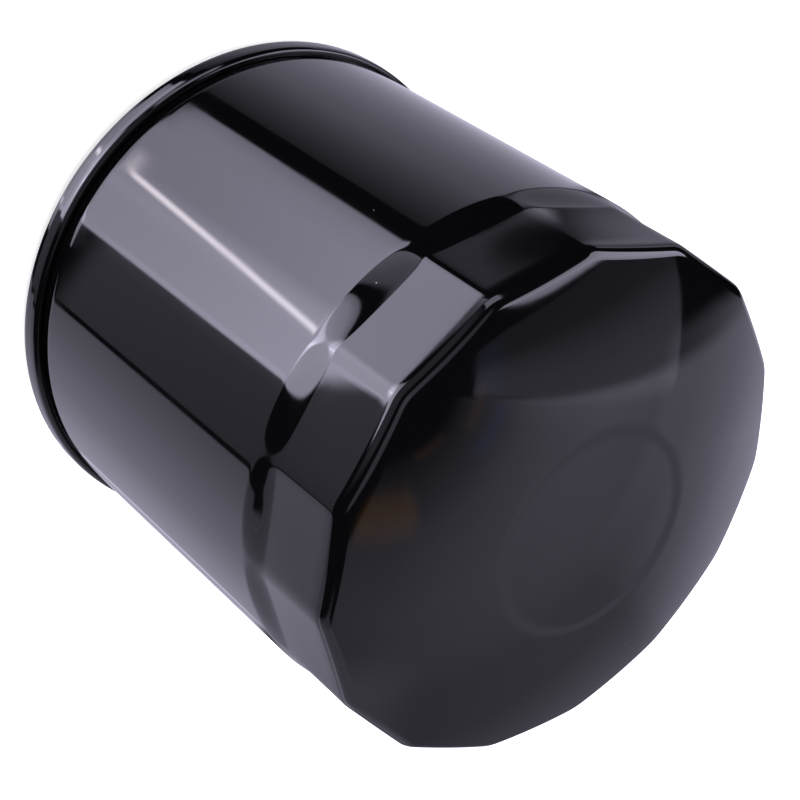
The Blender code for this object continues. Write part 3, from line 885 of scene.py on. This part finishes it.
def card_glow(name, size, levels, climb, tint, corner, softness, rim):
    """Light that fades at the card's rounded edge, or a bright rim along that edge, or both."""
    s = Shader(name)
    uv = s.add("ShaderNodeSeparateXYZ", Vector=s.add("ShaderNodeTexCoord").outputs["UV"])
    beyond = []
    for axis, length in zip(("X", "Y"), size):
        off_centre = s.math("ABSOLUTE", s.math("SUBTRACT", uv.outputs[axis], 0.5))
        beyond.append(s.math("SUBTRACT", s.math("MULTIPLY", off_centre, length), length / 2 - corner))
    outside = [s.math("POWER", s.math("MAXIMUM", part, 0.0), 2.0) for part in beyond]
    within = s.math("MINIMUM", s.math("MAXIMUM", beyond[0], beyond[1]), 0.0)
    from_edge = s.math("SUBTRACT", s.math("ADD", s.math("SQRT", s.math("ADD", *outside)), within), corner)
    glows = []
    if levels:
        across = brightness_ramp(s, uv.outputs["X"], levels)
        upward = brightness_ramp(s, uv.outputs["Y"], climb)
        inside = s.between(from_edge, 0.0, -softness)
        strength = s.math("MULTIPLY", s.math("MULTIPLY", across, upward), inside)
        glows.append(s.add("ShaderNodeEmission", Color=rgb(*tint), Strength=strength))
    if rim:
        level, width, unseen, seen = rim
        band = s.between(s.math("ABSOLUTE", s.math("ADD", from_edge, width)), width, 0.0, 0.0, level)
        shown = s.math("MULTIPLY", band, s.between(uv.outputs["X"], unseen, seen))
        glows.append(s.add("ShaderNodeEmission", Color=rgb(*STREAK_TINT), Strength=shown))
    s.tree.links.new(s.add_shaders(*glows), s.output.inputs["Surface"])
    s.material.cycles.emission_sampling = "NONE"
    return s.material


def card_corners(azimuth, elevation, lean, distance):
    """Corners, faces and (u, v) shares of a patch of sphere round the filter's middle."""
    width = azimuth[1] - azimuth[0]
    height = elevation[1] - elevation[0]
    columns = max(4, int(width / CARD_CELL))
    rows = max(4, int(height / CARD_CELL))
    corners = []
    shares = []
    for row in range(rows + 1):
        v = row / rows
        up = math.radians(elevation[0] + height * v)
        lift = height * (v - 0.5)
        for column in range(columns + 1):
            u = column / columns
            around = math.radians(azimuth[0] + width * u + lift * (lean[0] * (1 - u) + lean[1] * u))
            ray = Vector((math.cos(up) * math.cos(around), math.cos(up) * math.sin(around), math.sin(up)))
            corners.append(Vector((0.0, 0.0, HEIGHT / 2 * MM)) + ray * distance)
            shares.append((u, v))
    faces = []
    for row in range(rows):
        for column in range(columns):
            first = row * (columns + 1) + column
            faces.append((first, first + 1, first + columns + 2, first + columns + 1))
    return corners, faces, shares


def card(
    name,
    azimuth,
    elevation,
    levels,
    distance,
    climb=((0, 1.0), (1, 1.0)),
    tint=CARD_TINT,
    corner=3.0,
    softness=1.0,
    lean=(0.0, 0.0),
    rim=None,
    tall=1.0,
):
    """A curved reflector held round the filter, seen only in its gloss.

    It spans two azimuths and two elevations in degrees. Its sides lean by this many degrees of
    azimuth for each degree of elevation. Corners, softness and rim are in degrees of azimuth, and
    a degree of elevation counts this many times as tall. Levels and climb are (share, brightness)
    stops across the card and up it. A rim is its brightness, half its width, and the shares across
    the card between which it comes into sight.
    """
    corners, faces, shares = card_corners(azimuth, elevation, lean, distance)
    size = (azimuth[1] - azimuth[0], (elevation[1] - elevation[0]) * tall)
    mesh = bpy.data.meshes.new(name)
    mesh.from_pydata(corners, [], faces)
    layer = mesh.uv_layers.new(name="card")
    for loop in mesh.loops:
        layer.data[loop.index].uv = shares[loop.vertex_index]
    mesh.materials.append(card_glow(name, size, levels, climb, tint, corner, softness, rim))
    made = bpy.data.objects.new(name, mesh)
    bpy.context.scene.collection.objects.link(made)
    made.visible_camera = False
    made.visible_diffuse = False
    made.visible_transmission = False
    made.visible_shadow = False
    made.visible_volume_scatter = False


def even(level):
    """One brightness all across a card."""
    return ((0, level), (1, level))


# Low in front: the can's photographed side reflects these. Levels run across a card, climb up it.
FRONT_CARDS = (
    dict(
        name="front_softbox",
        azimuth=(-17.5, 20.0),
        elevation=(-52.75, -39.8),
        levels=((0, 2.5), (0.25, 3.7), (0.52, 0.0)),
        climb=((0, 0.62), (0.25, 0.72), (0.5, 0.85), (0.7, 1.0), (1, 1.05)),
        corner=11.0,
        softness=2.0,
        tall=16.0,
    ),
    dict(
        name="front_panel",
        azimuth=(-20.0, 60.9),
        elevation=(-75.0, -39.8),
        levels=((0.148, 0.0), (0.272, 3.8), (0.52, 4.0), (0.6, 5.2), (0.67, 5.9), (0.75, 5.5), (1, 5.4)),
        climb=((0, 0.3), (0.48, 0.5), (0.62, 0.62), (0.71, 0.75), (0.79, 0.9), (0.87, 1.05), (1, 1.0)),
        corner=2.0,
        softness=1.6,
        tall=16.0,
    ),
    # Bright seams between the front box's panels: a streak down the wall and a glow on the ramp.
    dict(
        name="front_streak",
        azimuth=(-30.0, 34.4),
        elevation=(-52.8, -44.0),
        levels=None,
        lean=(0.0, 1.18),
        corner=7.0,
        rim=(8.0, 2.6, 0.7, 0.88),
        tall=16.0,
    ),
    dict(
        name="ramp_edge_glow",
        azimuth=(18.0, 58.0),
        elevation=(-41.4, -36.5),
        levels=((0, 0.0), (0.3, 3.5), (0.55, 6.0), (0.61, 11.0), (0.67, 6.0), (0.85, 2.0), (1, 0.0)),
        corner=2.0,
        softness=4.0,
        tall=3.0,
    ),
    dict(
        name="upper_haze",
        azimuth=(-9.0, 12.5),
        elevation=(-40.5, -14.0),
        levels=((0, 1.6), (0.5, 1.3), (1, 0.8)),
        softness=2.5,
    ),
    dict(
        name="side_haze",
        azimuth=(16.0, 59.6),
        elevation=(-40.5, -14.0),
        levels=((0, 1.6), (0.1, 3.7), (0.3, 4.6), (0.5, 5.3), (0.8, 5.7), (1, 5.3)),
        softness=1.2,
    ),
    dict(
        name="lip_glow",
        azimuth=(6.0, 64.0),
        elevation=(-14.0, 28.0),
        levels=((0, 0.3), (1, 0.4)),
        softness=6.0,
        corner=8.0,
    ),
    dict(
        name="front_spot",
        azimuth=(-26.0, 6.0),
        elevation=(-12.0, 24.0),
        levels=even(2.4),
        softness=4.0,
    ),
    dict(
        name="dim_wall",
        azimuth=(57.0, 98.6),
        elevation=(-52.5, -37.0),
        levels=((0, 0.68), (0.12, 0.52), (0.22, 0.42), (0.5, 0.36), (1, 0.27)),
        corner=1.0,
        softness=0.8,
    ),
    dict(
        name="floor_glow",
        azimuth=(56.0, 74.0),
        elevation=(-75.0, -52.7),
        levels=((0, 3.0), (1, 1.5)),
        softness=0.8,
    ),
    dict(
        name="right_wall",
        azimuth=(100.4, 186.0),
        elevation=(-80.0, -24.0),
        levels=((0, 0.75), (0.3, 0.95), (0.7, 0.9), (1, 0.6)),
        climb=((0, 1.0), (0.68, 1.0), (0.76, 0.6), (1, 0.6)),
        softness=1.0,
    ),
    dict(
        name="left_wall",
        azimuth=(-178.0, -27.0),
        elevation=(-80.0, -40.5),
        levels=((0, 0.6), (0.2, 0.8), (0.35, 0.85), (0.55, 0.7), (0.8, 0.6), (1, 0.1)),
        softness=1.0,
    ),
    dict(
        name="left_haze",
        azimuth=(-178.0, -60.0),
        elevation=(-41.5, -18.0),
        levels=even(0.5),
        softness=4.0,
    ),
)

# Above and behind: the dome reflects these.
DOME_CARDS = (
    dict(
        name="sky",
        azimuth=(-222.0, -115.5),
        elevation=(-20.0, 80.0),
        levels=((0, 0.5), (0.25, 0.6), (0.4, 0.75), (0.7, 1.0), (0.87, 1.12), (1, 1.45)),
        climb=(
            (0, 0.27), (0.36, 0.28), (0.48, 0.4), (0.6, 0.68), (0.7, 0.83),
            (0.78, 0.8), (0.84, 0.68), (0.89, 0.42), (0.95, 0.2), (1, 0.0),
        ),
        softness=3.5,
        lean=(0.4, -0.1),
    ),
    dict(
        name="low_left_glow",
        azimuth=(112.0, 186.0),
        elevation=(-26.0, 44.0),
        levels=((0, 0.45), (0.6, 0.38), (1, 0.15)),
        softness=12.0,
        corner=12.0,
    ),
    dict(
        name="low_right_glow",
        azimuth=(-150.0, -110.5),
        elevation=(-26.0, 38.0),
        levels=((0, 0.0), (0.3, 0.4), (0.5, 0.7), (1, 0.75)),
        climb=((0, 1.0), (0.5, 1.0), (0.8, 0.5), (1, 0.2)),
        softness=4.0,
        corner=5.0,
    ),
    dict(
        name="sky_side",
        azimuth=(-122.5, -90.0),
        elevation=(33.0, 76.0),
        levels=((0, 0.0), (0.12, 0.52), (0.28, 0.5), (0.43, 0.42), (0.68, 0.16), (1, 0.14)),
        corner=3.0,
        softness=0.5,
    ),
    dict(
        name="side_softbox",
        azimuth=(-92.5, -46.0),
        elevation=(12.0, 68.0),
        levels=((0, 3.2), (0.4, 4.4), (1, 3.2)),
        lean=(0.25, 0.0),
        corner=10.0,
        softness=2.5,
    ),
    dict(
        name="warm_corner",
        azimuth=(150.0, 184.0),
        elevation=(61.0, 75.0),
        levels=even(0.33),
        tint=(1.0, 0.45, 0.0),
        corner=7.0,
        softness=6.0,
    ),
    dict(
        name="blue_patch",
        azimuth=(-148.0, -122.0),
        elevation=(67.5, 72.0),
        levels=even(0.16),
        tint=(0.0, 0.2, 1.0),
        corner=2.0,
        softness=2.0,
    ),
    dict(
        name="blue_corner",
        azimuth=(-120.0, -92.0),
        elevation=(69.5, 76.5),
        levels=even(0.12),
        tint=(0.1, 0.4, 1.0),
        corner=3.0,
        softness=3.0,
    ),
    dict(
        name="orange_patch",
        azimuth=(-140.0, -112.0),
        elevation=(72.5, 76.0),
        levels=even(0.16),
        tint=ORANGE_TINT,
        corner=1.5,
        softness=1.5,
    ),
    dict(
        name="orange_speck",
        azimuth=(-176.0, -150.0),
        elevation=(75.5, 78.5),
        levels=even(0.14),
        tint=ORANGE_TINT,
        corner=1.5,
        softness=1.5,
    ),
)

# Panels that the photographed side hardly shows, so that the other sides aren't all black.
SIDE_CARDS = (
    dict(
        name="rear_panel",
        azimuth=(-174.0, -128.0),
        elevation=(-36.0, -11.5),
        levels=((0, 1.6), (1, 2.8)),
        softness=3.0,
    ),
    dict(
        name="right_panel",
        azimuth=(104.0, 172.0),
        elevation=(-26.0, -9.0),
        levels=even(0.6),
        softness=3.0,
    ),
    dict(
        name="left_panel",
        azimuth=(-104.0, -60.0),
        elevation=(-19.0, -6.0),
        levels=((0, 0.3), (1, 1.0)),
        softness=4.0,
    ),
    dict(
        name="top_panel",
        azimuth=(-20.0, 96.0),
        elevation=(42.0, 76.0),
        levels=((0, 0.3), (0.5, 0.9), (1, 0.4)),
        softness=9.0,
        corner=12.0,
    ),
)


def cards():
    """The reflectors low in front make the wall's highlights, and those above and behind the dome's."""
    for number, details in enumerate(FRONT_CARDS + DOME_CARDS + SIDE_CARDS):
        card(distance=CARD_DISTANCE + CARD_STEP * number, **details)


LAMP_AIM = Vector((0.0, 0.0, 40.0)) * MM
FLOOR_REACH = 6.0


def lamp(name, size, energy, place):
    """A round area light that points at the filter's middle."""
    light = bpy.data.lights.new(name, "AREA")
    light.shape = "DISK"
    light.size = size
    light.energy = energy
    made = bpy.data.objects.new(name, light)
    bpy.context.scene.collection.objects.link(made)
    made.location = place
    made.rotation_euler = (LAMP_AIM - Vector(place)).to_track_quat("-Z", "Y").to_euler()
    made.visible_glossy = False


def floor():
    """Plain pale floor. From underneath it is clear, so the base end can be seen."""
    s = Shader("pale_floor")
    white = s.add("ShaderNodeBsdfDiffuse", Color=rgb(0.9, 0.9, 0.9))
    glow = s.add("ShaderNodeEmission", Color=rgb(1.0, 1.0, 1.0), Strength=0.55)
    lit = s.add("ShaderNodeAddShader")
    s.tree.links.new(white.outputs[0], lit.inputs[0])
    s.tree.links.new(glow.outputs[0], lit.inputs[1])
    sides = s.add("ShaderNodeMixShader", Fac=s.add("ShaderNodeNewGeometry").outputs["Backfacing"])
    s.tree.links.new(lit.outputs[0], sides.inputs[1])
    s.tree.links.new(s.add("ShaderNodeBsdfTransparent").outputs[0], sides.inputs[2])
    s.tree.links.new(sides.outputs[0], s.output.inputs["Surface"])
    s.material.cycles.emission_sampling = "NONE"
    mesh = bpy.data.meshes.new("floor")
    signs = ((-1, -1), (1, -1), (1, 1), (-1, 1))
    mesh.from_pydata([(x * FLOOR_REACH, y * FLOOR_REACH, 0.0) for x, y in signs], [], [(0, 1, 2, 3)])
    mesh.materials.append(s.material)
    made = bpy.data.objects.new("floor", mesh)
    bpy.context.scene.collection.objects.link(made)
    made.visible_glossy = False
    made.visible_shadow = False


def world():
    """An even white surround, which the gloss doesn't reflect."""
    made = bpy.data.worlds.new("studio")
    made.use_nodes = True
    background = made.node_tree.nodes["Background"]
    background.inputs["Color"].default_value = rgb(1.0, 1.0, 1.0)
    background.inputs["Strength"].default_value = 1.0
    made.cycles_visibility.glossy = False
    bpy.context.scene.world = made


CAMERA_AIM = Vector((-0.8, 0.6, 42.3)) * MM
CAMERA_DISTANCE = 274.3 * MM
CAMERA_AZIMUTH = math.radians(35.15)
CAMERA_ELEVATION = math.radians(42.41)
CAMERA_ROLL = math.radians(-126.49)
CAMERA_LENS = 86.57
SENSOR_WIDTH = 36.0
CLIP_START = 10 * MM


def camera():
    """Looks down at the filter from its far end, rolled so that it seems to lie on its side."""
    lens = bpy.data.cameras.new("camera")
    lens.lens = CAMERA_LENS
    lens.sensor_width = SENSOR_WIDTH
    lens.clip_start = CLIP_START
    made = bpy.data.objects.new("camera", lens)
    bpy.context.scene.collection.objects.link(made)
    away = Vector((math.cos(CAMERA_AZIMUTH), math.sin(CAMERA_AZIMUTH), 0.0))
    back = away * math.cos(CAMERA_ELEVATION) + Vector((0.0, 0.0, math.sin(CAMERA_ELEVATION)))
    turn = back.to_track_quat("Z", "Y").to_matrix() @ Matrix.Rotation(-CAMERA_ROLL, 3, "Z")
    made.matrix_world = Matrix.Translation(CAMERA_AIM + back * CAMERA_DISTANCE) @ turn.to_4x4()
    bpy.context.scene.camera = made


steel = spring_steel("spring_steel")
pieces(steel)
dress_carried_nodes(steel)
floor()
world()
cards()
lamp("overhead", size=0.6, energy=6.0, place=(0.1, 0.2, 0.9))
lamp("fill", size=0.5, energy=3.0, place=(-0.5, -0.5, 0.6))
camera()
bpy.context.scene.view_settings.view_transform = "Standard"
